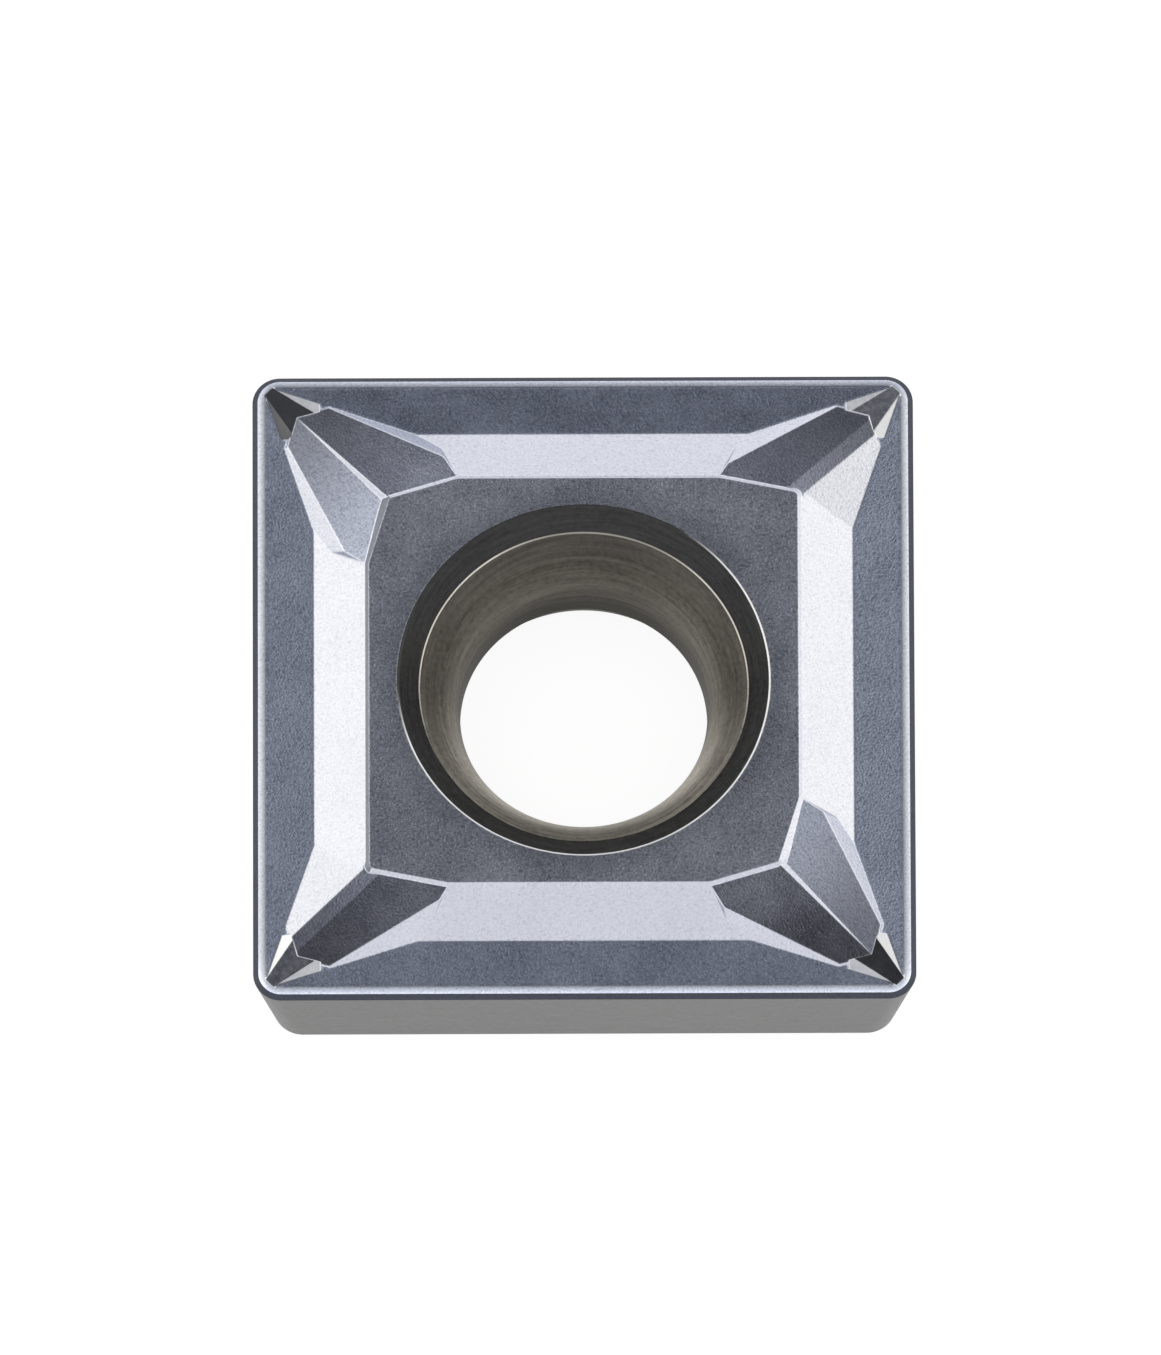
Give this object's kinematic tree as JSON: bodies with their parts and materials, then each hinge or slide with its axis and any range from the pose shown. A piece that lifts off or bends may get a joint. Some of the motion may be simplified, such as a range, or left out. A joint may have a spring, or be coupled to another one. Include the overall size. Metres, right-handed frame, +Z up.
{
  "type": "carbide insert",
  "caption": "Square cutting insert for a turning or milling tool, with tapered flanks, a moulded chip breaker and a countersunk screw hole.",
  "frame": {"origin": "centre of the flat seat under the insert, on the axis of the screw hole", "axes": "+Z up the screw hole, from the seat to the chip breaker; X and Y square to the four cutting edges"},
  "size_m": [0.0096, 0.0096, 0.0026],
  "materials": {
    "insert": "satin"
  },
  "bodies": {
    "root": {"insert": "insert"}
  },
  "joints": []
}
